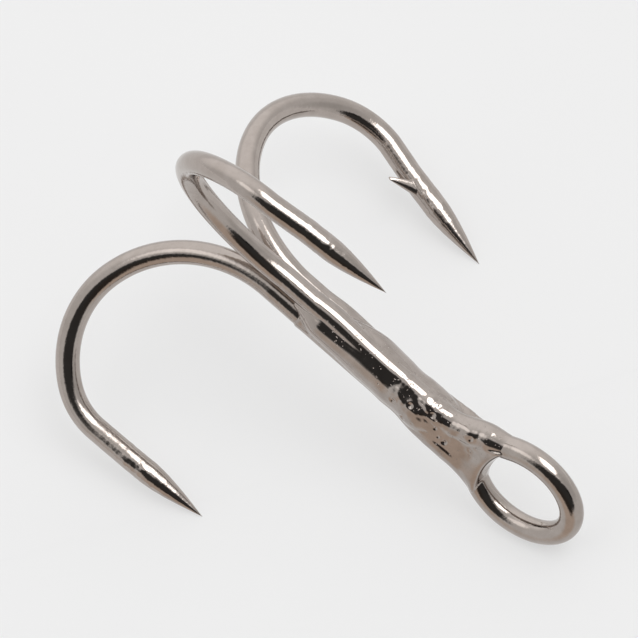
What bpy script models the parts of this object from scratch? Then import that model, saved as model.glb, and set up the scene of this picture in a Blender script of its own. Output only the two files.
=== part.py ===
"""Semi-barbed treble fishing hook, lying on two of its bends and on its eye.

Three physical pieces: a double hook bent from one length of round wire, whose
middle is the line eye; a barbed single hook laid in the groove between its two
legs; and the braze that fills the bundle of shanks and closes the root of the eye.
Every piece is built along the shank (X toward the eye), then carried into the
lying pose by one empty.
"""
import bpy
import bmesh
from math import sin, cos, tan, pi, radians, hypot
from mathutils import Matrix, Vector

MM = 0.001

# wire
WIRE_R = 0.50 * MM
WIRE_SIDES = 14
GAP = 0.02 * MM                  # clearance between the wires and the braze
LEG_R = 0.59 * MM                # distance of each leg from the shank axis

# hook profile, from the straight leg round to the point
HEEL_R = 5.50 * MM
HEEL_TURN = radians(78.0)
BEND_R = 4.48 * MM
BEND_TURN = radians(64.0)
THROAT_R = 2.95 * MM
ARM_LEN = 5.70 * MM
TAPER_LEN = 2.40 * MM
POINT_R = 0.03 * MM

# the three hooks: azimuth round the shank, start of the heel along it,
# turn of the throat, extra arm length, lean of the bend and of the arm
LEFT = dict(azimuth=-122.5, heel=-2.10, throat=40.5, arm=-0.20, lean=-0.058, skew=0.016)
MIDDLE = dict(azimuth=-1.5, heel=-1.85, throat=44.0, arm=-0.05, lean=-0.050, skew=0.076)
BARBED = dict(azimuth=124.0, heel=-1.50, throat=49.0, arm=0.30, lean=-0.078, skew=0.092)

# eye: an oval loop whose legs sweep in to the bundle
EYE_X = 10.75 * MM
EYE_LONG = 2.28 * MM
EYE_WIDE = 1.87 * MM
EYE_SKEW = 0.20 * MM             # how far the eye's wide axis leans forward
EYE_AZIMUTH = radians(28.0)
EYE_OPEN = radians(128.0)
LEG_END = 6.30 * MM
SINGLE_END = 5.90 * MM

# barb, cut up from the inner side of one arm
BARB_ROOT = 3.75 * MM            # from the point, where the barb begins to rise
BARB_TIP = 5.00 * MM             # from the point, to the barb's own tip
BARB_RISE = 1.15 * MM            # height of the tip above the arm's centre
BARB_HALF = 0.20 * MM

# braze
BRAZE_START = -0.80 * MM
BRAZE_FULL = 5.60 * MM
BRAZE_END = 9.10 * MM
BRAZE_RIDGE = 1.20 * MM
BRAZE_GROOVE = 1.05 * MM
BRAZE_SIDES = 48
BRAZE_RINGS = 26

# lying pose: pitch of the shank, eye end down, and roll about it
PITCH = radians(19.66)
ROLL = radians(2.70)


def clear_scene():
    for obj in list(bpy.data.objects):
        bpy.data.objects.remove(obj, do_unlink=True)


def make_material(name, color, roughness, metallic=1.0):
    mat = bpy.data.materials.new(name)
    mat.use_nodes = True
    shader = mat.node_tree.nodes["Principled BSDF"]
    shader.inputs["Base Color"].default_value = (*color, 1.0)
    shader.inputs["Roughness"].default_value = roughness
    shader.inputs["Metallic"].default_value = metallic
    return mat


def radial(azimuth):
    """Unit vector away from the shank axis; azimuth runs from +Z toward +Y."""
    return Vector((0.0, sin(azimuth), cos(azimuth)))


def sideways(azimuth):
    return Vector((0.0, cos(azimuth), -sin(azimuth)))


def plane_profile(hook):
    """The hook's centreline in its own plane: (along, out, radius, arm run)."""
    along = LEG_END
    heel = hook["heel"] * MM
    rows = []
    steps = 9
    for i in range(steps):
        rows.append((along + (heel - along) * i / steps, LEG_R, WIRE_R, 0.0))
    x, y = heel, LEG_R
    heading = pi
    throat = radians(hook["throat"])
    for radius, turn, count in ((HEEL_R, HEEL_TURN, 13), (BEND_R, BEND_TURN, 10), (THROAT_R, throat, 6)):
        cx = x + radius * cos(heading - pi / 2)
        cy = y + radius * sin(heading - pi / 2)
        for i in range(count):
            a = heading + pi / 2 - turn * i / count
            rows.append((cx + radius * cos(a), cy + radius * sin(a), WIRE_R, 0.0))
        x = cx + radius * cos(heading + pi / 2 - turn)
        y = cy + radius * sin(heading + pi / 2 - turn)
        heading -= turn
    length = ARM_LEN + hook["arm"] * MM
    shank_part = length - TAPER_LEN
    runs = [shank_part * i / 4 for i in range(4)]
    runs += [shank_part + TAPER_LEN * i / 8 for i in range(9)]
    for run in runs:
        left = min((length - run) / TAPER_LEN, 1.0)
        radius = max(POINT_R, WIRE_R * max(left, 0.0) ** 0.8)
        rows.append((x + run * cos(heading), y + run * sin(heading), radius, run))
    return rows


def hook_path(hook):
    """Centreline points and wire radii from the straight leg to the point."""
    azimuth = radians(hook["azimuth"])
    out = radial(azimuth)
    side = sideways(azimuth)
    heel = hook["heel"] * MM
    points = []
    radii = []
    for along, r, radius, run in plane_profile(hook):
        shift = hook["lean"] * max(0.0, heel - along) + hook["skew"] * run
        points.append(Vector((along, 0.0, 0.0)) + out * r + side * shift)
        radii.append(radius)
    return points, radii


def eye_point(t):
    along = EYE_X + EYE_LONG * cos(t) + EYE_SKEW * sin(t)
    return Vector((along, 0, 0)) + radial(EYE_AZIMUTH) * EYE_WIDE * sin(t)


def eye_slope(t):
    along = EYE_SKEW * cos(t) - EYE_LONG * sin(t)
    return Vector((along, 0, 0)) + radial(EYE_AZIMUTH) * EYE_WIDE * cos(t)


def hermite(p0, m0, p1, m1, t):
    a = 2 * t ** 3 - 3 * t ** 2 + 1
    b = t ** 3 - 2 * t ** 2 + t
    c = 3 * t ** 2 - 2 * t ** 3
    d = t ** 3 - t ** 2
    return p0 * a + m0 * b + p1 * c + m1 * d


def eye_path(leg_in, leg_out):
    """From one leg, round the eye, to the other leg; the legs' ends left off."""
    forward = Vector((1.0, 0.0, 0.0))
    reach = 3.4 * MM
    start = eye_point(EYE_OPEN)
    end = eye_point(-EYE_OPEN)
    points = []
    steps = 8
    for i in range(1, steps):
        slope = -eye_slope(EYE_OPEN).normalized() * reach
        points.append(hermite(leg_in, forward * reach, start, slope, i / steps))
    turns = 26
    for i in range(turns + 1):
        points.append(eye_point(EYE_OPEN - 2 * EYE_OPEN * i / turns))
    for i in range(1, steps):
        slope = -eye_slope(-EYE_OPEN).normalized() * reach
        points.append(hermite(end, slope, leg_out, -forward * reach, i / steps))
    return points


def sweep(name, points, radii, sides, up):
    """A round bar along the points, its rings turned as little as possible."""
    bm = bmesh.new()
    count = len(points)
    rings = []
    normal = Vector(up)
    for i in range(count):
        ahead = points[min(i + 1, count - 1)] - points[max(i - 1, 0)]
        tangent = ahead.normalized()
        normal = (normal - tangent * normal.dot(tangent)).normalized()
        across = tangent.cross(normal)
        ring = []
        for k in range(sides):
            a = 2 * pi * k / sides
            spot = points[i] + (normal * cos(a) + across * sin(a)) * radii[i]
            ring.append(bm.verts.new(spot))
        rings.append(ring)
    for first, second in zip(rings, rings[1:]):
        for k in range(sides):
            n = (k + 1) % sides
            bm.faces.new((first[k], first[n], second[n], second[k]))
    bm.faces.new(list(reversed(rings[0])))
    bm.faces.new(rings[-1])
    return finish_mesh(name, bm)


def finish_mesh(name, bm):
    bmesh.ops.recalc_face_normals(bm, faces=bm.faces)
    mesh = bpy.data.meshes.new(name)
    bm.to_mesh(mesh)
    bm.free()
    mesh.shade_smooth()
    mesh.set_sharp_from_angle(angle=radians(40.0))
    obj = bpy.data.objects.new(name, mesh)
    bpy.context.collection.objects.link(obj)
    return obj


def hide_cutter(obj):
    obj.hide_render = True
    obj.display_type = "WIRE"


def add_boolean(target, tool, operation):
    mod = target.modifiers.new(tool.name, "BOOLEAN")
    mod.operation = operation
    mod.solver = "EXACT"
    mod.object = tool
    hide_cutter(tool)


def smooth_step(t):
    t = min(max(t, 0.0), 1.0)
    return t * t * (3.0 - 2.0 * t)


def braze_section(x, angle):
    """Outline of the braze at one station: a soft triangle round the three
    legs, which turns into a flat oval round the two legs of the eye."""
    ridge = (BRAZE_RIDGE + BRAZE_GROOVE) / 2
    lobe = (BRAZE_RIDGE - BRAZE_GROOVE) / 2
    toe = smooth_step((x - BRAZE_START) / (0.5 * MM) + 0.3)
    trio = ridge + lobe * cos(3 * angle) - 0.02 * MM * (1 - toe)
    flat = smooth_step((x - BRAZE_FULL) / (2.4 * MM))
    spread = max(0.0, (x - 6.0 * MM) / (3.0 * MM)) ** 2
    wide = 1.18 * MM + 0.62 * MM * spread
    thin = 1.10 * MM - 0.28 * MM * spread
    turn = angle - EYE_AZIMUTH
    oval = 1.0 / hypot(cos(turn) / wide, sin(turn) / thin)
    return trio + (oval - trio) * flat


def make_braze():
    bm = bmesh.new()
    rings = []
    for i in range(BRAZE_RINGS):
        x = BRAZE_START + (BRAZE_END - BRAZE_START) * i / (BRAZE_RINGS - 1)
        ring = []
        for k in range(BRAZE_SIDES):
            a = 2 * pi * k / BRAZE_SIDES
            r = braze_section(x, a)
            ring.append(bm.verts.new((x, r * sin(a), r * cos(a))))
        rings.append(ring)
    for first, second in zip(rings, rings[1:]):
        for k in range(BRAZE_SIDES):
            n = (k + 1) % BRAZE_SIDES
            bm.faces.new((first[k], first[n], second[n], second[k]))
    bm.faces.new(list(reversed(rings[0])))
    bm.faces.new(rings[-1])
    return finish_mesh("braze", bm)


def make_barb():
    """A thin wedge that leans back from the arm toward the bend."""
    points, radii = hook_path(BARBED)
    tip = points[-1]
    arm = (points[-6] - points[-1]).normalized()
    inward = -radial(radians(BARBED["azimuth"]))
    inward = (inward - arm * inward.dot(arm)).normalized()
    across = arm.cross(inward)
    bm = bmesh.new()
    root = tip + arm * BARB_ROOT + inward * 0.30 * MM
    heel = tip + arm * (BARB_ROOT + 0.62 * MM) + inward * 0.25 * MM
    crest = tip + arm * (BARB_ROOT + 0.50 * MM) + inward * 0.67 * MM
    point = tip + arm * BARB_TIP + inward * BARB_RISE
    left = []
    right = []
    for spot, half in ((root, 0.5), (heel, 1.0), (crest, 0.8), (point, 0.15)):
        left.append(bm.verts.new(spot - across * BARB_HALF * half))
        right.append(bm.verts.new(spot + across * BARB_HALF * half))
    order = (0, 1, 3, 2)
    bm.faces.new([left[i] for i in order])
    bm.faces.new([right[i] for i in reversed(order)])
    for a, b in zip(order, order[1:] + order[:1]):
        bm.faces.new((left[a], right[a], right[b], left[b]))
    return finish_mesh("barb_tool", bm)


def lift_radii(radii, extra):
    return [r + extra for r in radii]


def make_pieces():
    wire = make_material("plated_wire", (0.36, 0.34, 0.32), 0.12)
    wire_single = make_material("plated_wire_single", (0.36, 0.34, 0.32), 0.12)
    filler = make_material("plated_braze", (0.33, 0.31, 0.29), 0.28)

    left, left_radii = hook_path(LEFT)
    middle, middle_radii = hook_path(MIDDLE)
    loop = eye_path(middle[0], left[0])
    points = list(reversed(middle)) + loop + left
    radii = list(reversed(middle_radii)) + [WIRE_R] * len(loop) + left_radii
    double = sweep("double_hook", points, radii, WIRE_SIDES, (0, 0, 1))
    double.data.materials.append(wire)
    double_cut = sweep("double_cut", points, lift_radii(radii, GAP), WIRE_SIDES, (0, 0, 1))

    single_points, single_radii = hook_path(BARBED)
    single_points[0].x = SINGLE_END
    single = sweep("single_hook", single_points, single_radii, WIRE_SIDES, (0, 0, 1))
    single.data.materials.append(wire_single)
    cut_points = [p.copy() for p in single_points]
    cut_points[0].x += GAP
    single_cut = sweep("single_cut", cut_points, lift_radii(single_radii, GAP), WIRE_SIDES, (0, 0, 1))

    core = [Vector((BRAZE_START - 1.0 * MM, 0, 0)), Vector((LEG_END, 0, 0))]
    core_cut = sweep("core_cut", core, [0.30 * MM] * 2, 12, (0, 0, 1))

    braze = make_braze()
    braze.data.materials.append(filler)
    for tool in (core_cut, single_cut, double_cut):
        add_boolean(braze, tool, "DIFFERENCE")

    barb = make_barb()
    add_boolean(single, barb, "UNION")
    return [double, single, braze], [double_cut, single_cut, core_cut, barb]


def lay_down(pieces, tools):
    """Turn the hook into its lying pose, centred over its own footprint."""
    pose = bpy.data.objects.new("lying_pose", None)
    bpy.context.collection.objects.link(pose)
    turn = Matrix.Rotation(PITCH, 4, "Y") @ Matrix.Rotation(ROLL, 4, "X")
    spots = []
    for obj in pieces:
        spots += [turn @ v.co for v in obj.data.vertices]
    low = Vector([min(p[i] for p in spots) for i in range(3)])
    high = Vector([max(p[i] for p in spots) for i in range(3)])
    pose.rotation_euler = turn.to_euler()
    pose.location = (-(low.x + high.x) / 2, -(low.y + high.y) / 2, -low.z)
    for obj in pieces + tools:
        obj.parent = pose


def main():
    clear_scene()
    pieces, tools = make_pieces()
    lay_down(pieces, tools)


main()
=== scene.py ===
import math
import random

import bmesh
import bpy
import numpy as np
from mathutils import Matrix, Vector, noise


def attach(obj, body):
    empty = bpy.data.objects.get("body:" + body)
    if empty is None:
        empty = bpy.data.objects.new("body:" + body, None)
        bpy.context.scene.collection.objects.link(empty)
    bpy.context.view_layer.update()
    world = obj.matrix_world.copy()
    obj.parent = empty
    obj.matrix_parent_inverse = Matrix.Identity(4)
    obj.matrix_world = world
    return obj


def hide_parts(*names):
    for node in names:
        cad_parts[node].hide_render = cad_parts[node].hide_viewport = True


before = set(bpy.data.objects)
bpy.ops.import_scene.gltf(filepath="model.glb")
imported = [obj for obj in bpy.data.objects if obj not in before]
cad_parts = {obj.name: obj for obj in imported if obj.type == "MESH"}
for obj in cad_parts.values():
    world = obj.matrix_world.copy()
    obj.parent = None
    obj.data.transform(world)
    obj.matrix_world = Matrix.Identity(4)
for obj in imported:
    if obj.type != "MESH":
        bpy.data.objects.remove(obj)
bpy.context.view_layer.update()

# ---------------------------------------------------------------- dimensions
# millimetres along the shank axis (X toward the eye), scaled to metres last

WIRE_R = 0.493
LEG_R = 0.59
LEG_END = 6.30
HEEL_R, HEEL_TURN = 5.50, math.radians(78.0)
BEND_R, BEND_TURN = 4.48, math.radians(64.0)
THROAT_R = 2.95
ARM_LEN = 5.70
TAPER_LEN = 2.75
SINGLE_END = 5.90

LEFT = dict(azimuth=-122.5, heel=-2.10, throat=40.5, arm=-0.20, lean=-0.058, skew=0.016)
MIDDLE = dict(azimuth=-1.5, heel=-1.85, throat=44.0, arm=-0.05, lean=-0.050, skew=0.076)
BARBED = dict(azimuth=124.0, heel=-1.50, throat=49.0, arm=0.30, lean=-0.078, skew=0.092)

EYE_X, EYE_LONG, EYE_WIDE, EYE_SKEW = 10.75, 2.28, 1.87, 0.20
EYE_AZIMUTH = math.radians(28.0)
EYE_OPEN = math.radians(128.0)

PITCH = math.radians(19.66)
ROLL = math.radians(2.70)
TURN = Matrix.Rotation(PITCH, 4, "Y") @ Matrix.Rotation(ROLL, 4, "X")

STEP = 0.085                     # ring spacing on the wires
SIDES = 44
FAR_FROM_POINT = 99.0            # stands for "nowhere near a point"
NODULES_AT = 3.1                 # distance from the point to the nodules' middle
NODULES_SPREAD = 1.5
BRAZE_VOXEL = 0.034
BRAZE_EASING = 22                # smoothing passes that round its fillets
TUBE_SIDES = 40


def radial(azimuth):
    return np.array([0.0, math.sin(azimuth), math.cos(azimuth)])


def sideways(azimuth):
    return np.array([0.0, math.cos(azimuth), -math.sin(azimuth)])


def smooth_step(t):
    t = np.clip(t, 0.0, 1.0)
    return t * t * (3.0 - 2.0 * t)


# ---------------------------------------------------------------- wire paths

def plane_profile(hook):
    """Rows of (along, out, arm run, distance left to the point)."""
    rows = []
    heel = hook["heel"]
    count = int((LEG_END - heel) / STEP)
    for i in range(count):
        rows.append((LEG_END + (heel - LEG_END) * i / count, LEG_R, 0.0, FAR_FROM_POINT))
    x, y, heading = heel, LEG_R, math.pi
    throat = math.radians(hook["throat"])
    for radius, turn in ((HEEL_R, HEEL_TURN), (BEND_R, BEND_TURN), (THROAT_R, throat)):
        cx = x + radius * math.cos(heading - math.pi / 2)
        cy = y + radius * math.sin(heading - math.pi / 2)
        count = int(radius * turn / STEP)
        for i in range(count):
            a = heading + math.pi / 2 - turn * i / count
            spot = (cx + radius * math.cos(a), cy + radius * math.sin(a))
            rows.append((*spot, 0.0, FAR_FROM_POINT))
        x = cx + radius * math.cos(heading + math.pi / 2 - turn)
        y = cy + radius * math.sin(heading + math.pi / 2 - turn)
        heading -= turn
    length = ARM_LEN + hook["arm"]
    count = int(length / (STEP * 0.5))
    for i in range(count + 1):
        run = length * i / count
        rows.append((x + run * math.cos(heading), y + run * math.sin(heading), run, length - run))
    return rows


def wire_radius(left):
    """Full wire, then a slightly crowned grind down to the needle point."""
    f = min(max(left / TAPER_LEN, 0.0), 1.0)
    crown = 1.0 - (1.0 - f) ** 1.45
    return max(0.012, WIRE_R * crown)


def hook_path(hook):
    azimuth = math.radians(hook["azimuth"])
    out, side = radial(azimuth), sideways(azimuth)
    points, radii, lefts = [], [], []
    for along, r, run, left in plane_profile(hook):
        shift = hook["lean"] * max(0.0, hook["heel"] - along) + hook["skew"] * run
        points.append(np.array([along, 0.0, 0.0]) + out * r + side * shift)
        radii.append(wire_radius(left))
        lefts.append(left)
    return points, radii, lefts


def eye_point(t):
    along = EYE_X + EYE_LONG * math.cos(t) + EYE_SKEW * math.sin(t)
    return np.array([along, 0.0, 0.0]) + radial(EYE_AZIMUTH) * EYE_WIDE * math.sin(t)


def eye_slope(t):
    along = EYE_SKEW * math.cos(t) - EYE_LONG * math.sin(t)
    slope = np.array([along, 0, 0]) + radial(EYE_AZIMUTH) * EYE_WIDE * math.cos(t)
    return slope / np.linalg.norm(slope)


def hermite(p0, m0, p1, m1, t):
    a = 2 * t ** 3 - 3 * t ** 2 + 1
    b = t ** 3 - 2 * t ** 2 + t
    c = 3 * t ** 2 - 2 * t ** 3
    d = t ** 3 - t ** 2
    return p0 * a + m0 * b + p1 * c + m1 * d


def leg_to_eye(leg, side):
    """The stretch in which one leg swings out of the bundle into the eye."""
    reach = 3.4
    forward = np.array([1.0, 0.0, 0.0])
    target = eye_point(side * EYE_OPEN)
    slope = -side * eye_slope(side * EYE_OPEN) * reach
    return [hermite(leg, forward * reach, target, slope, i / 40) for i in range(1, 40)]


def wire_path(middle, left):
    into = leg_to_eye(middle[0][0], 1)
    back = list(reversed(leg_to_eye(left[0][0], -1)))
    turns = 150
    loop = [eye_point(EYE_OPEN - 2 * EYE_OPEN * i / turns) for i in range(turns + 1)]
    eye = into + loop + back
    points = list(reversed(middle[0])) + eye + left[0]
    radii = list(reversed(middle[1])) + [WIRE_R] * len(eye) + left[1]
    lefts = list(reversed(middle[2])) + [FAR_FROM_POINT] * len(eye) + left[2]
    return points, radii, lefts


# ---------------------------------------------------------------- mesh tools

def to_world(points_mm, shift):
    turned = np.asarray(points_mm) @ np.array(TURN.to_3x3()).T
    return (turned + shift) * 0.001


def new_object(name, bm, material):
    bmesh.ops.recalc_face_normals(bm, faces=bm.faces)
    mesh = bpy.data.meshes.new(name)
    bm.to_mesh(mesh)
    bm.free()
    mesh.shade_smooth()
    mesh.materials.append(material)
    obj = bpy.data.objects.new(name, mesh)
    bpy.context.collection.objects.link(obj)
    return obj


def grid_mesh(name, rings, material, shift):
    """Closed skin over rings of points, with a fan at each end."""
    bm = bmesh.new()
    rows = []
    for ring in rings:
        rows.append([bm.verts.new(co) for co in to_world(ring, shift)])
    sides = len(rows[0])
    for first, second in zip(rows, rows[1:]):
        for k in range(sides):
            n = (k + 1) % sides
            bm.faces.new((first[k], first[n], second[n], second[k]))
    for row, ring in ((rows[0], rings[0]), (rows[-1], rings[-1])):
        centre = bm.verts.new(to_world(np.mean(ring, axis=0), shift))
        for k in range(sides):
            bm.faces.new((row[k], row[(k + 1) % sides], centre))
    return new_object(name, bm, material)


def nodules(point, left, salt):
    """Small plating nodules, gathered where the arm starts to taper."""
    band = math.exp(-((left - NODULES_AT) / NODULES_SPREAD) ** 2)
    if band < 0.02:
        return 0.0
    p = Vector(point) * 3.1 + Vector((salt, 0, 0))
    q = Vector(point) * 6.5 + Vector((0, salt, 0))
    lump = max(0.0, noise.noise(p) - 0.16) * 0.034
    grain = max(0.0, noise.noise(q) - 0.10) * 0.014
    return (lump + grain) * band


def sweep_rings(points, radii, lefts, salt):
    rings = []
    normal = np.array([0.0, 0.0, 1.0])
    count = len(points)
    angles = [2 * math.pi * k / SIDES for k in range(SIDES)]
    for i in range(count):
        ahead = points[min(i + 1, count - 1)] - points[max(i - 1, 0)]
        tangent = ahead / np.linalg.norm(ahead)
        normal = normal - tangent * normal.dot(tangent)
        normal /= np.linalg.norm(normal)
        across = np.cross(tangent, normal)
        ring = []
        for a in angles:
            way = normal * math.cos(a) + across * math.sin(a)
            spot = points[i] + way * radii[i]
            swell = 0.0022 * noise.noise(Vector(spot) * 0.9)
            bump = nodules(spot, lefts[i], salt) * min(1.0, radii[i] / 0.3)
            ring.append(points[i] + way * (radii[i] * (1.0 + swell) + bump))
        rings.append(np.array(ring))
    return rings


# ---------------------------------------------------------------- materials

class Nodes:
    """Short calls for building a node tree."""

    def __init__(self, tree):
        self.tree = tree
        tree.nodes.clear()

    def add(self, kind, **settings):
        node = self.tree.nodes.new(kind)
        for key, value in settings.items():
            setattr(node, key, value)
        return node

    def link(self, source, target):
        self.tree.links.new(source, target)

    def mm_coords(self):
        coords = self.add("ShaderNodeTexCoord")
        scale = self.add("ShaderNodeMapping")
        scale.inputs["Scale"].default_value = (1000.0, 1000.0, 1000.0)
        self.link(coords.outputs["Object"], scale.inputs["Vector"])
        return scale.outputs["Vector"]

    def noise(self, vector, scale, detail=4.0, rough=0.55):
        tex = self.add("ShaderNodeTexNoise")
        tex.inputs["Scale"].default_value = scale
        tex.inputs["Detail"].default_value = detail
        tex.inputs["Roughness"].default_value = rough
        self.link(vector, tex.inputs["Vector"])
        return tex.outputs["Fac"]

    def ramp(self, value, stops):
        ramp = self.add("ShaderNodeValToRGB")
        elements = ramp.color_ramp.elements
        while len(elements) < len(stops):
            elements.new(0.5)
        for element, (place, color) in zip(elements, stops):
            element.position = place
            element.color = (*color, 1.0)
        self.link(value, ramp.inputs["Fac"])
        return ramp.outputs["Color"]

    def remap(self, value, low, high, out_low, out_high, smooth=False):
        node = self.add("ShaderNodeMapRange")
        if smooth:
            node.interpolation_type = "SMOOTHSTEP"
        node.inputs["From Min"].default_value = low
        node.inputs["From Max"].default_value = high
        node.inputs["To Min"].default_value = out_low
        node.inputs["To Max"].default_value = out_high
        self.link(value, node.inputs["Value"])
        return node.outputs["Result"]

    def bump(self, height, strength, distance, normal=None):
        node = self.add("ShaderNodeBump")
        node.inputs["Strength"].default_value = strength
        node.inputs["Distance"].default_value = distance
        self.link(height, node.inputs["Height"])
        if normal is not None:
            self.link(normal, node.inputs["Normal"])
        return node.outputs["Normal"]


def black_nickel(name, light, dark, rough_low, rough_high, grain, pits):
    """Mirror-like black nickel plate with faint clouding and fine grain."""
    mat = bpy.data.materials.new(name)
    mat.use_nodes = True
    n = Nodes(mat.node_tree)
    where = n.mm_coords()
    shader = n.add("ShaderNodeBsdfPrincipled")
    output = n.add("ShaderNodeOutputMaterial")
    n.link(shader.outputs["BSDF"], output.inputs["Surface"])
    shader.inputs["Metallic"].default_value = 1.0
    cloud = n.noise(where, 1.7, 5.0, 0.6)
    n.link(n.ramp(cloud, ((0.32, dark), (0.68, light))), shader.inputs["Base Color"])
    haze = n.noise(where, 3.3, 6.0, 0.65)
    n.link(n.remap(haze, 0.35, 0.75, rough_low, rough_high), shader.inputs["Roughness"])
    fine = n.noise(where, 26.0, 3.0, 0.5)
    normal = n.bump(fine, grain, 0.00002)
    broad = n.noise(where, 5.5, 3.0, 0.5)
    normal = n.bump(broad, grain, 0.00006, normal)
    if pits:
        spots = n.noise(where, 9.0, 2.0, 0.4)
        holes = n.remap(spots, 0.24, 0.32, 0.0, 1.0, smooth=True)
        normal = n.bump(holes, 0.7, 0.00003, normal)
    n.link(normal, shader.inputs["Normal"])
    return mat


wire_metal = black_nickel(
    "plated_wire", light=(0.455, 0.405, 0.372), dark=(0.40, 0.352, 0.32),
    rough_low=0.055, rough_high=0.13, grain=0.10, pits=False)
braze_metal = black_nickel(
    "plated_braze", light=(0.445, 0.396, 0.364), dark=(0.375, 0.33, 0.30),
    rough_low=0.05, rough_high=0.12, grain=0.022, pits=True)

# ---------------------------------------------------------------- the wires

left_path = hook_path(LEFT)
middle_path = hook_path(MIDDLE)
barbed_path = hook_path(BARBED)
while barbed_path[0][0][0] > SINGLE_END:
    for rows in barbed_path:
        rows.pop(0)

single_rings = sweep_rings(*barbed_path, 3.0)
double_rings = sweep_rings(*wire_path(middle_path, left_path), 7.0)


def lying_shift():
    """Carries the lying hook so that its box's bottom centre is the origin."""
    spots = np.concatenate(single_rings + double_rings) @ np.array(TURN.to_3x3()).T
    low, high = spots.min(axis=0), spots.max(axis=0)
    return np.array([-(low[0] + high[0]) / 2, -(low[1] + high[1]) / 2, -low[2]])


SHIFT = lying_shift()

single = grid_mesh("single_hook_wire", single_rings, wire_metal, SHIFT)
double = grid_mesh("double_hook_wire", double_rings, wire_metal, SHIFT)

# ---------------------------------------------------------------- the barb

def arm_axes(path):
    """The point of an arm, the way back along it, inward, and across."""
    tip = path[0][-1]
    back = path[0][-60] - tip
    back /= np.linalg.norm(back)
    inward = -radial(math.radians(BARBED["azimuth"]))
    inward = inward - back * inward.dot(back)
    inward /= np.linalg.norm(inward)
    return tip, back, inward, np.cross(back, inward)


def barb_rings():
    """A sliver cut up from the arm: broad at its root, a blunt point at its end.

    Its faces slant, so that the edge toward the hook's point is the narrow one.
    """
    tip, back, inward, across = arm_axes(barbed_path)
    rings = []
    count = 26
    for i in range(count + 1):
        t = i / count
        lower = np.array([3.60 + 1.19 * t, 0.36 + 0.79 * t ** 1.1])
        upper = np.array([4.18 + 0.72 * t, 0.20 + 0.90 * t ** 0.98])
        half = 0.27 * (1.0 - t) ** 0.75 + 0.02
        middle = (lower + upper) / 2
        ring = []
        for k in range(20):
            a = 2 * math.pi * k / 20
            c, s = math.cos(a), math.sin(a)
            across_part = half * math.copysign(abs(s) ** 0.8, s) * (1.0 - 0.45 * c)
            spot = middle + (lower - upper) / 2 * math.copysign(abs(c) ** 0.7, c)
            spot = spot + np.array([-0.006, 0.008]) * c
            crown = 0.08 * (1 - (across_part / (half + 1e-6)) ** 2) * (1 - t) if c > 0 else 0.0
            ring.append(tip + back * spot[0] + inward * (spot[1] + crown) + across * across_part)
        rings.append(np.array(ring))
    return rings


def notch_rings():
    """The small scoop that the cut leaves in the arm behind the barb."""
    tip, back, inward, across = arm_axes(barbed_path)
    rings = []
    for along, wide, depth in (
            (4.22, 0.02, 0.40), (4.36, 0.17, 0.37), (4.62, 0.22, 0.41),
            (4.95, 0.14, 0.46), (5.20, 0.02, 0.52)):
        ring = []
        for k in range(16):
            a = 2 * math.pi * k / 16
            spot = tip + back * along + inward * (depth + 0.30 + 0.30 * math.cos(a))
            ring.append(spot + across * wide * math.sin(a))
        rings.append(np.array(ring))
    return rings


def apply_boolean(target, tool, operation):
    mod = target.modifiers.new("cut", "BOOLEAN")
    mod.operation = operation
    mod.solver = "EXACT"
    mod.object = tool
    bpy.context.view_layer.update()
    graph = bpy.context.evaluated_depsgraph_get()
    mesh = bpy.data.meshes.new_from_object(target.evaluated_get(graph))
    target.modifiers.clear()
    target.data = mesh
    bpy.data.objects.remove(tool, do_unlink=True)


barb = grid_mesh("barb", barb_rings(), wire_metal, SHIFT)
notch = grid_mesh("notch", notch_rings(), wire_metal, SHIFT)
apply_boolean(single, notch, "DIFFERENCE")
apply_boolean(single, barb, "UNION")

# ---------------------------------------------------------------- the braze

def shank_leg(path, side):
    """Centreline of one leg from above its heel on into the eye."""
    heel = [p for p in reversed(path[0]) if -2.2 < p[0] and np.hypot(p[1], p[2]) < 1.6]
    if side is None:
        return np.array(heel)
    swing = leg_to_eye(path[0][0], side)
    loop = [eye_point(side * (EYE_OPEN - 0.035 * i)) for i in range(8)]
    return np.array(heel + swing + loop)


def coat(x, toe, lip, start, tail, rim):
    """Thickness of braze over one leg: a lip and a rim at its toe, gone past its tail."""
    rise = smooth_step((x - toe) / lip)
    fall = smooth_step((x - tail) / 1.5)
    lipped = rim * np.exp(-((x - toe - 0.2) / 0.16) ** 2)
    cover = start + (0.034 - start) * rise - 0.12 * fall + lipped
    return np.where(x < toe - 0.1, np.minimum(cover, -0.05), cover)


def tube(bm, points, radii):
    """A closed tube along a run of points."""
    rows = []
    normal = np.array([0.0, 0.0, 1.0])
    for i, centre in enumerate(points):
        ahead = points[min(i + 1, len(points) - 1)] - points[max(i - 1, 0)]
        tangent = ahead / np.linalg.norm(ahead)
        normal = normal - tangent * normal.dot(tangent)
        normal /= np.linalg.norm(normal)
        across = np.cross(tangent, normal)
        row = []
        for k in range(TUBE_SIDES):
            a = 2 * math.pi * k / TUBE_SIDES
            way = normal * math.cos(a) + across * math.sin(a)
            row.append(bm.verts.new(centre + way * radii[i]))
        rows.append(row)
    skin(bm, rows)


def skin(bm, rows):
    sides = len(rows[0])
    for first, second in zip(rows, rows[1:]):
        for k in range(sides):
            n = (k + 1) % sides
            bm.faces.new((first[k], first[n], second[n], second[k]))
    bm.faces.new(list(reversed(rows[0])))
    bm.faces.new(rows[-1])


def core_tube(bm):
    """The fill between the legs: round, and drawn in toward the toes."""
    xs = np.linspace(-1.0, 7.4, 60)
    late = 1.0 - smooth_step((xs - 0.2) / 2.8)
    body = 0.28 + (0.76 - 0.34 * late) * smooth_step((xs + 1.1) / 1.5)
    body = body - 0.36 * smooth_step((xs - 5.4) / 2.0)
    way = radial(math.radians(-62.0))
    tube(bm, [np.array([x, 0.0, 0.0]) + way * 0.33 * t for x, t in zip(xs, late)], body)


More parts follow.
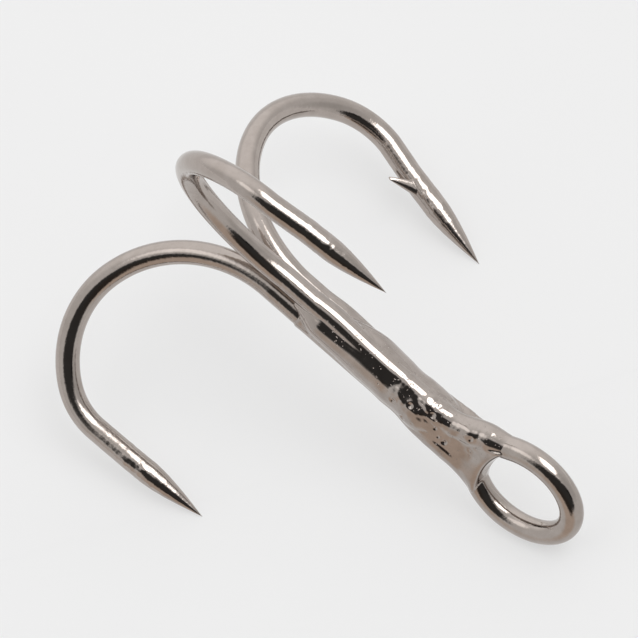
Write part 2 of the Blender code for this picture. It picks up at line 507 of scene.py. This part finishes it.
def web(bm, legs):
    """The fill between the eye's legs, ending in a hollow edge."""
    out = radial(EYE_AZIMUTH)
    flat = np.array([0.0, -math.cos(EYE_AZIMUTH), math.sin(EYE_AZIMUTH)])
    reach = []
    for leg in legs:
        order = np.argsort(leg[:, 0])
        reach.append((leg[order, 0], leg[order] @ out))
    rows = []
    count = 34
    for i in range(count + 1):
        s = -1.24 + 2.24 * i / count
        end = 9.15 + 0.30 * min(s * s, 1.0)
        rim = max(0.0, (-0.85 - s) / 0.42)
        path = list(np.linspace(5.0, end, 34))
        row = []
        for face in (1, -1):
            for x in (path if face > 0 else reversed(path)):
                high = np.interp(x, *reach[0])
                low = np.interp(x, *reach[1])
                lateral = (high + low) / 2 + (high - low) / 2 * s
                thick = 0.90 - 0.28 * smooth_step((x - 5.4) / 3.0)
                thick = thick * math.sqrt(1.0 - 0.8 * rim * rim)
                edge = 1.0 - min(max((x - (end - 0.30)) / 0.30, 0.0), 1.0) ** 2
                thick = max(thick * math.sqrt(edge), 0.004)
                row.append(bm.verts.new(np.array([x, 0, 0]) + out * lateral + flat * thick * face))
        rows.append(row)
    skin(bm, rows)


def lumps(p):
    """Casting lumps and fine grit on the heavy end of the braze."""
    x = p[0]
    heavy = float(smooth_step((x - 3.2) / 1.6) * (1.0 - smooth_step((x - 8.2) / 0.8)))
    light = float(smooth_step((x + 0.3) / 1.2) * (1.0 - smooth_step((x - 8.6) / 0.5)))
    v = Vector(p)
    turn = math.atan2(p[1], p[2])
    rough = 0.16 + 0.84 * max(0.0, math.cos(turn - math.radians(-20.0))) ** 2
    big = noise.noise(v * 0.95) * 0.062 * (heavy + 0.12 * light)
    mid = noise.noise(v * 2.1 + Vector((5, 1, 2))) * 0.036 * rough * (heavy + 0.09 * light)
    grit = noise.noise(v * 5.2) * 0.012 * rough * (heavy + 0.05 * light)
    return big + mid + grit


def crater_list():
    """Gas pits: centre along the shank, angle round it, and size."""
    rng = random.Random(11)
    craters = []
    for _ in range(40):
        place = rng.triangular(3.3, 8.6, 6.6), rng.uniform(-math.pi, math.pi)
        craters.append((*place, rng.uniform(0.05, 0.13)))
    for _ in range(26):
        place = rng.uniform(2.6, 8.8), rng.uniform(-math.pi, math.pi)
        craters.append((*place, rng.uniform(0.03, 0.05)))
    return craters


def braze_bulge(x, y, z):
    """Extra metal on the flanks: before the eye and at the barbed hook's root."""
    lean = radial(math.radians(-108.0))
    side = smooth_step((y * lean[1] + z * lean[2]) / 1.3)
    left = 0.16 * np.exp(-((x - 6.7) / 1.5) ** 2) * side
    other = smooth_step((y * math.sin(1.15) + z * math.cos(1.15)) / 1.3)
    high = 0.20 * np.exp(-((x - 7.8) / 1.0) ** 2) - 0.13 * np.exp(-((x - 4.8) / 1.3) ** 2)
    high += 0.12 * np.exp(-((x - 0.6) / 1.1) ** 2)
    return left + high * other


def cover_wire(spots, leg, first):
    """Keep the skin a hair outside the wire that it covers."""
    fine = np.concatenate([leg[:-1] + (leg[1:] - leg[:-1]) * f for f in (0.0, 0.5)])
    near = np.full(len(spots), 99.0)
    anchor = spots.copy()
    for centre in fine:
        gap = np.linalg.norm(spots - centre, axis=1)
        better = gap < near
        near[better] = gap[better]
        anchor[better] = centre
    floor_r = WIRE_R + 0.016
    covered = (spots[:, 0] > first) & (spots[:, 0] < 8.4) & (near < floor_r)
    way = (spots - anchor) / np.maximum(near, 1e-6)[:, None]
    return np.where(covered[:, None], anchor + way * floor_r, spots)


def melt_together(bm):
    """Fuse the closed bodies into one skin with soft fillets."""
    obj = new_object("braze_filler", bm, braze_metal)
    fuse = obj.modifiers.new("fuse", "REMESH")
    fuse.mode = "VOXEL"
    fuse.voxel_size = BRAZE_VOXEL
    ease = obj.modifiers.new("ease", "SMOOTH")
    ease.factor = 0.5
    ease.iterations = BRAZE_EASING
    bpy.context.view_layer.update()
    graph = bpy.context.evaluated_depsgraph_get()
    mesh = bpy.data.meshes.new_from_object(obj.evaluated_get(graph))
    obj.modifiers.clear()
    obj.data = mesh
    return obj


def read_spots(mesh):
    spots = np.empty(len(mesh.vertices) * 3)
    mesh.vertices.foreach_get("co", spots)
    return spots.reshape(-1, 3)


def soften(mesh, times):
    bm = bmesh.new()
    bm.from_mesh(mesh)
    for _ in range(times):
        bmesh.ops.smooth_vert(
            bm, verts=bm.verts, factor=0.5,
            use_axis_x=True, use_axis_y=True, use_axis_z=True)
    bm.to_mesh(mesh)
    bm.free()


def make_braze():
    left_leg = shank_leg(left_path, -1)
    middle_leg = shank_leg(middle_path, 1)
    barbed_leg = shank_leg(barbed_path, None)
    bm = bmesh.new()
    for leg, toe, lip, start, tail, rim in (
            (left_leg, -0.60, 0.14, -0.12, 8.5, 0.015),
            (middle_leg, -1.2, 3.6, -0.022, 8.5, 0.0),
            (barbed_leg, -0.3, 2.2, -0.035, 9.9, 0.0)):
        tube(bm, list(leg), WIRE_R + coat(leg[:, 0], toe, lip, start, tail, rim))
    core_tube(bm)
    web(bm, (middle_leg, left_leg))
    obj = melt_together(bm)
    mesh = obj.data
    spots = read_spots(mesh)
    ways = np.empty(len(spots) * 3)
    mesh.vertex_normals.foreach_get("vector", ways)
    ways = ways.reshape(-1, 3)
    lift = np.array([lumps(p) for p in spots])
    lift += braze_bulge(spots[:, 0], spots[:, 1], spots[:, 2])
    turn = np.arctan2(spots[:, 1], spots[:, 2])
    reach = np.hypot(spots[:, 1], spots[:, 2])
    for cx, ca, size in crater_list():
        round_it = ((turn - ca + math.pi) % (2 * math.pi) - math.pi) * reach
        gap = np.hypot(spots[:, 0] - cx, round_it) / size
        bowl = -0.55 * size * np.exp(-(gap ** 2) * 1.6)
        bowl += 0.12 * size * np.exp(-((gap - 1.25) ** 2) * 9.0)
        lift += np.where(gap < 3.0, bowl, 0.0)
    spots = spots + ways * lift[:, None]
    for leg, first in ((left_leg, -0.5), (middle_leg, 1.2), (barbed_leg, 1.4)):
        spots = cover_wire(spots, leg, first)
    mesh.vertices.foreach_set("co", spots.ravel())
    soften(mesh, 3)
    mesh.vertices.foreach_set("co", to_world(read_spots(mesh), SHIFT).ravel())
    mesh.update()
    mesh.shade_smooth()
    if not mesh.materials:
        mesh.materials.append(braze_metal)
    return obj


braze = make_braze()

for piece, node, slot in (
        (single, "single_hook", "plated_wire"),
        (double, "double_hook", "plated_wire"),
        (braze, "braze", "plated_braze")):
    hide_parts(node)
    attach(piece, "root")

# ---------------------------------------------------------------- the studio
# metres; directions in degrees right of and above the camera's own

FLOOR_GLOW = 0.555
FLOOR_EDGE = 0.0020              # how far in front of the origin it is mirrored
FLOOR_FAR = 1.5
FLOOR_GAP = 0.00002              # keeps the two sheets apart
CAMERA_AIM = Vector((-0.00187, -0.00048, 0.00569))
CAMERA_FAR = 1.0
CAMERA_AZIMUTH = math.radians(-34.20)
CAMERA_RISE = math.radians(61.59)
CAMERA_ROLL = math.radians(-16.74)
CAMERA_LENS = 1417.5

TENT = 0.77                      # brightness of the white surroundings
ROOM_DEPTH = 0.72                # how much darker the room is
ROOM_LOBES = (                   # right, up, and the lobe's inner and outer radius
    (-15.0, -20.0, 15.0, 25.0),
    (-16.0, -38.0, 17.0, 27.0),
    (-26.0, -32.0, 14.0, 24.0),
    (0.0, -46.0, 18.0, 27.0),
    (8.0, -30.0, 26.0, 36.0),
    (20.0, -30.0, 22.0, 32.0),
)
WHITE = (1.0, 1.0, 1.0)
WARM = (0.85, 0.72, 0.625)


def floor_sheet(name, corners, height, mat):
    bm = bmesh.new()
    bm.faces.new([bm.verts.new((x, y, height)) for x, y in corners])
    sheet = new_object(name, bm, mat)
    return sheet


def make_floor():
    """A pale lit table; its reflection ends just in front of the hook."""
    mat = bpy.data.materials.new("floor_paper")
    mat.use_nodes = True
    n = Nodes(mat.node_tree)
    where = n.mm_coords()
    shader = n.add("ShaderNodeBsdfPrincipled")
    output = n.add("ShaderNodeOutputMaterial")
    n.link(shader.outputs["BSDF"], output.inputs["Surface"])
    shader.inputs["Roughness"].default_value = 0.9
    shader.inputs["Specular IOR Level"].default_value = 0.1
    shader.inputs["Emission Color"].default_value = (1.0, 1.0, 1.0, 1.0)
    shader.inputs["Emission Strength"].default_value = FLOOR_GLOW
    tone = n.noise(where, 0.05, 2.0)
    paper = n.ramp(tone, ((0.3, (0.295, 0.295, 0.295)), (0.7, (0.30, 0.30, 0.30))))
    n.link(paper, shader.inputs["Base Color"])
    far = FLOOR_FAR
    square = ((-far, -far), (far, -far), (far, far), (-far, far))
    whole = floor_sheet("floor", square, -FLOOR_GAP, mat)
    whole.visible_glossy = False
    ahead = Vector((math.cos(CAMERA_AZIMUTH), math.sin(CAMERA_AZIMUTH)))
    beside = Vector((-ahead.y, ahead.x))
    corners = []
    for forward, side in ((FLOOR_EDGE, -far), (FLOOR_EDGE, far), (-far, far), (-far, -far)):
        corners.append(ahead * forward + beside * side)
    floor_sheet("floor_front", corners, 0.0, mat)


def make_camera():
    toward = Vector((
        math.cos(CAMERA_RISE) * math.cos(CAMERA_AZIMUTH),
        math.cos(CAMERA_RISE) * math.sin(CAMERA_AZIMUTH),
        math.sin(CAMERA_RISE)))
    data = bpy.data.cameras.new("camera")
    data.lens = CAMERA_LENS
    data.sensor_width = 36.0
    data.clip_start = 0.05
    data.clip_end = 20.0
    cam = bpy.data.objects.new("camera", data)
    bpy.context.collection.objects.link(cam)
    level = toward.to_track_quat("Z", "Y").to_matrix().to_4x4()
    place = Matrix.Translation(CAMERA_AIM + toward * CAMERA_FAR)
    cam.matrix_world = place @ level @ Matrix.Rotation(CAMERA_ROLL, 4, "Z")
    bpy.context.scene.camera = cam
    turn = cam.matrix_world.to_3x3()
    return turn.col[0].copy(), turn.col[1].copy(), turn.col[2].copy()


def aim(axes, right, up):
    """A direction so many degrees right of and above the camera's own."""
    across, upward, toward = axes
    angle = math.radians(math.hypot(right, up))
    lean = (across * right + upward * up).normalized()
    return toward * math.cos(angle) + lean * math.sin(angle)


def lobe(n, direction, middle, inner, outer, peak):
    """A soft round patch of the surroundings, about one direction."""
    dot = n.add("ShaderNodeVectorMath", operation="DOT_PRODUCT")
    n.link(direction, dot.inputs[0])
    dot.inputs[1].default_value = middle.normalized()
    rim, core = math.cos(math.radians(outer)), math.cos(math.radians(inner))
    return n.remap(dot.outputs["Value"], rim, core, 0.0, peak, smooth=True)


def math_node(n, operation, first, second):
    node = n.add("ShaderNodeMath", operation=operation)
    for socket, value in zip(node.inputs, (first, second)):
        if isinstance(value, (int, float)):
            socket.default_value = value
        else:
            n.link(value, socket)
    return node.outputs[0]


def soft_box(n, direction, middle, length_way, half_long, half_wide, peak):
    """A rounded rectangular light of crisp edge, seen about one direction."""
    middle = middle.normalized()
    along = (length_way - middle * length_way.dot(middle)).normalized()
    over = middle.cross(along)
    terms = []
    for way, half in ((along, half_long), (over, half_wide)):
        dot = n.add("ShaderNodeVectorMath", operation="DOT_PRODUCT")
        n.link(direction, dot.inputs[0])
        dot.inputs[1].default_value = way / math.sin(math.radians(half))
        size = math_node(n, "ABSOLUTE", dot.outputs["Value"], 0.0)
        terms.append(math_node(n, "POWER", size, 4.0))
    total = math_node(n, "ADD", terms[0], terms[1])
    shape = n.remap(total, 0.75, 1.35, peak, 0.0, smooth=True)
    front = lobe(n, direction, middle, 50.0, 60.0, 1.0)
    return math_node(n, "MULTIPLY", shape, front)


def make_surroundings(axes):
    """A white tent, a dark room below the camera, one soft box, one weaker."""
    world = bpy.data.worlds.new("studio")
    bpy.context.scene.world = world
    world.use_nodes = True
    n = Nodes(world.node_tree)
    coords = n.add("ShaderNodeTexCoord")
    way = coords.outputs["Generated"]
    background = n.add("ShaderNodeBackground")
    output = n.add("ShaderNodeOutputWorld")
    n.link(background.outputs["Background"], output.inputs["Surface"])
    room = None
    for right, up, inner, outer in ROOM_LOBES:
        part = lobe(n, way, aim(axes, right, up), inner, outer, ROOM_DEPTH)
        room = part if room is None else math_node(n, "MAXIMUM", room, part)
    dim = lobe(n, way, aim(axes, 58.0, 4.0), 8.0, 34.0, 0.16)
    tent = math_node(n, "SUBTRACT", math_node(n, "SUBTRACT", TENT, room), dim)
    long_way = axes[0] * 0.5 + axes[1] * 0.87
    box = soft_box(n, way, aim(axes, 18.0, 29.0), long_way, 20.0, 13.0, 3.0)
    second = lobe(n, way, aim(axes, -35.0, 17.0), 9.0, 19.0, 0.75)
    roof = lobe(n, way, aim(axes, -22.0, 82.0), 22.0, 66.0, 0.36)
    tent = math_node(n, "ADD", tent, roof)
    total = math_node(n, "ADD", math_node(n, "ADD", tent, box), second)
    n.link(total, background.inputs["Strength"])
    warm = lobe(n, way, aim(axes, -18.0, -74.0), 16.0, 46.0, 1.0)
    n.link(n.ramp(warm, ((0.05, WHITE), (0.9, WARM))), background.inputs["Color"])


make_floor()
make_surroundings(make_camera())
bpy.context.scene.view_settings.view_transform = "Standard"
